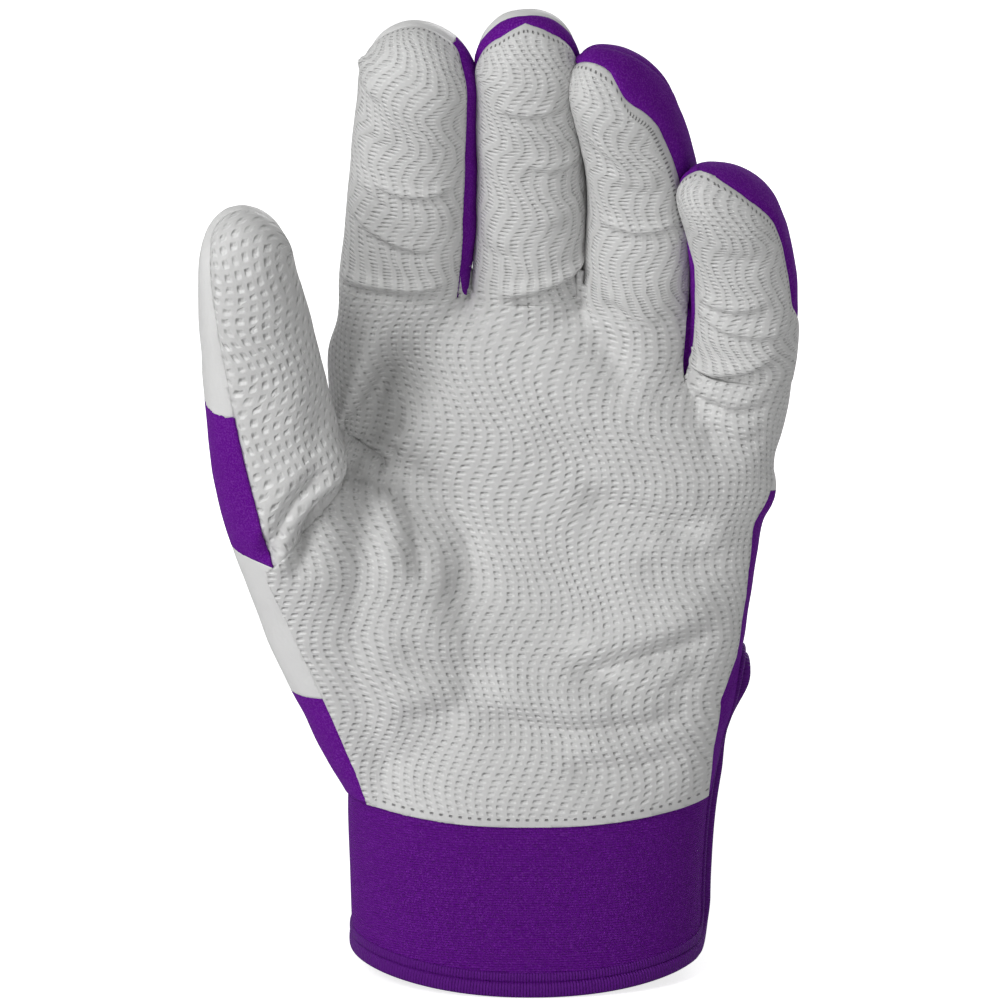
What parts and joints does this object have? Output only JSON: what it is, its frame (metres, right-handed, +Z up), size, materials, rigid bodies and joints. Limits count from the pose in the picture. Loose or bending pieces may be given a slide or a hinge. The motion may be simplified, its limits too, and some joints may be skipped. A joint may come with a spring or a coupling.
{
  "type": "batting glove",
  "caption": "Left-hand batting glove: embossed leather palm and finger fronts, stretch side walls and back, neoprene cuff with a hook-and-loop wrist strap.",
  "frame": {"origin": "centre of the wrist opening at the lowest point of the hem", "axes": "+Z up the hand towards the fingertips, -Y out of the palm, -X towards the thumb"},
  "size_m": [0.1153, 0.0701, 0.1972],
  "materials": {
    "embossed_leather": "matt goatskin-like leather embossed with staggered rows of small pits",
    "smooth_leather": "matt smooth leather with fine dots",
    "stretch_fabric": "fine-rib stretch knit",
    "cuff_neoprene": "fine-rib knit face on neoprene",
    "edge_tape": "ribbed binding tape",
    "hook_and_loop": "nylon hook and loop pile",
    "pull_rubber": "plain moulded rubber"
  },
  "bodies": {
    "hand": {"palm_leather": "embossed_leather", "thumb_side_panel": "smooth_leather", "back_panel": "stretch_fabric", "knuckle_panel": "smooth_leather", "wrist_panel": "stretch_fabric", "cuff": "cuff_neoprene", "edge_tape": "edge_tape", "loop_patch": "hook_and_loop"},
    "index_finger": {"index_palm_leather": "embossed_leather", "index_side_wall": "stretch_fabric", "index_back": "smooth_leather"},
    "middle_finger": {"middle_palm_leather": "embossed_leather", "middle_side_wall": "stretch_fabric", "middle_back": "smooth_leather"},
    "ring_finger": {"ring_palm_leather": "embossed_leather", "ring_side_wall": "stretch_fabric", "ring_back": "stretch_fabric"},
    "little_finger": {"little_palm_leather": "embossed_leather", "little_side_wall": "stretch_fabric", "little_back": "stretch_fabric"},
    "thumb": {"thumb_palm_leather": "embossed_leather", "thumb_back": "smooth_leather", "thumb_gusset": "stretch_fabric"},
    "strap": {"closure_strap": "cuff_neoprene", "hook_patch": "hook_and_loop", "strap_pull": "pull_rubber"}
  },
  "joints": [
    {"name": "index_flex", "type": "hinge", "parent": "hand", "child": "index_finger", "pos_m": [-0.02553, -0.0127, 0.138], "axis": [0.9995, 0, -0.0304], "range_deg": [0, 50]},
    {"name": "middle_flex", "type": "hinge", "parent": "hand", "child": "middle_finger", "pos_m": [-0.00105, -0.01296, 0.13786], "axis": [1, 0, 0.0077], "range_deg": [0, 50]},
    {"name": "ring_flex", "type": "hinge", "parent": "hand", "child": "ring_finger", "pos_m": [0.02077, -0.01345, 0.13498], "axis": [0.9993, 0, 0.0373], "range_deg": [0, 50]},
    {"name": "little_flex", "type": "hinge", "parent": "hand", "child": "little_finger", "pos_m": [0.04136, -0.01393, 0.12243], "axis": [0.9978, 0, -0.0659], "range_deg": [0, 50]},
    {"name": "thumb_flex", "type": "hinge", "parent": "hand", "child": "thumb", "pos_m": [-0.0485, -0.0265, 0.097], "axis": [0.6771, 0, 0.7359], "range_deg": [0, 30]},
    {"name": "strap_open", "type": "hinge", "parent": "hand", "child": "strap", "pos_m": [0.0356, -0.0016, 0.021], "axis": [0, 0, -1], "range_deg": [0, 85]}
  ]
}
